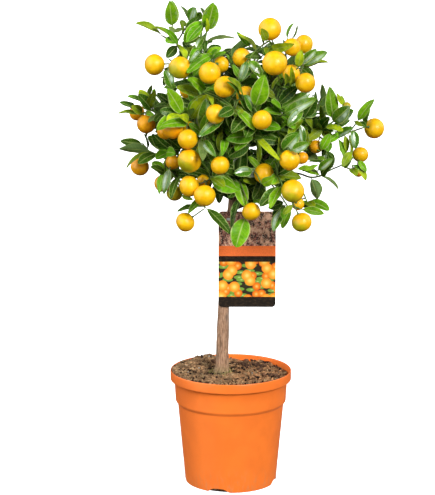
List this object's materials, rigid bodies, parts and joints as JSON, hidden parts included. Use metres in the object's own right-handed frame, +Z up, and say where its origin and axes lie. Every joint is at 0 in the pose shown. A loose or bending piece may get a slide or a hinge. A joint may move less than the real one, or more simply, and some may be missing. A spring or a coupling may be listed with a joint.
{
  "type": "potted calamondin orange tree",
  "caption": "Small round-headed calamondin citrus tree on a bare trunk, with leafy shoots and fruits, in an orange nursery pot with a hang tag.",
  "frame": {"origin": "middle of the pot's flat underside", "axes": "+Z up along the trunk; -Y is the front, where the hang tag faces"},
  "size_m": [0.4249, 0.3458, 0.8],
  "materials": {
    "pot": "satin orange plastic",
    "soil": "rough dark potting mix",
    "bark": "rough grey-brown bark",
    "leaf": "glossy green leaf",
    "fruit": "waxy yellow-orange peel",
    "tag": "glossy printed card",
    "strap": "dark plastic strap"
  },
  "bodies": {
    "root": {"fruit_01": "fruit", "fruit_02": "fruit", "fruit_03": "fruit", "fruit_04": "fruit", "fruit_05": "fruit", "fruit_06": "fruit", "fruit_07": "fruit", "fruit_08": "fruit", "fruit_09": "fruit", "fruit_10": "fruit", "fruit_11": "fruit", "fruit_12": "fruit", "fruit_13": "fruit", "fruit_14": "fruit", "fruit_15": "fruit", "fruit_16": "fruit", "fruit_17": "fruit", "fruit_18": "fruit", "fruit_19": "fruit", "fruit_20": "fruit", "fruit_21": "fruit", "fruit_22": "fruit", "fruit_23": "fruit", "fruit_24": "fruit", "fruit_25": "fruit", "fruit_26": "fruit", "fruit_27": "fruit", "fruit_28": "fruit", "fruit_29": "fruit", "fruit_30": "fruit", "fruit_31": "fruit", "fruit_32": "fruit", "hang_tag": "tag", "nursery_pot": "pot", "shoot_back": "leaf", "shoot_back_high": "leaf", "shoot_back_high_left": "leaf", "shoot_back_high_right": "leaf", "shoot_back_left": "leaf", "shoot_back_low_left": "leaf", "shoot_back_low_right": "leaf", "shoot_back_right": "leaf", "shoot_centre": "leaf", "shoot_centre_left": "leaf", "shoot_left_front": "leaf", "shoot_left_high": "leaf", "shoot_left_low": "leaf", "shoot_low_centre": "leaf", "shoot_low_left": "leaf", "shoot_low_right": "leaf", "shoot_low_right_centre": "leaf", "shoot_right": "leaf", "shoot_right_high": "leaf", "shoot_top_centre": "leaf", "shoot_top_left": "leaf", "shoot_top_middle": "leaf", "shoot_top_right": "leaf", "soil": "soil", "tag_strap": "strap", "trunk_and_branches": "bark"}
  },
  "joints": []
}
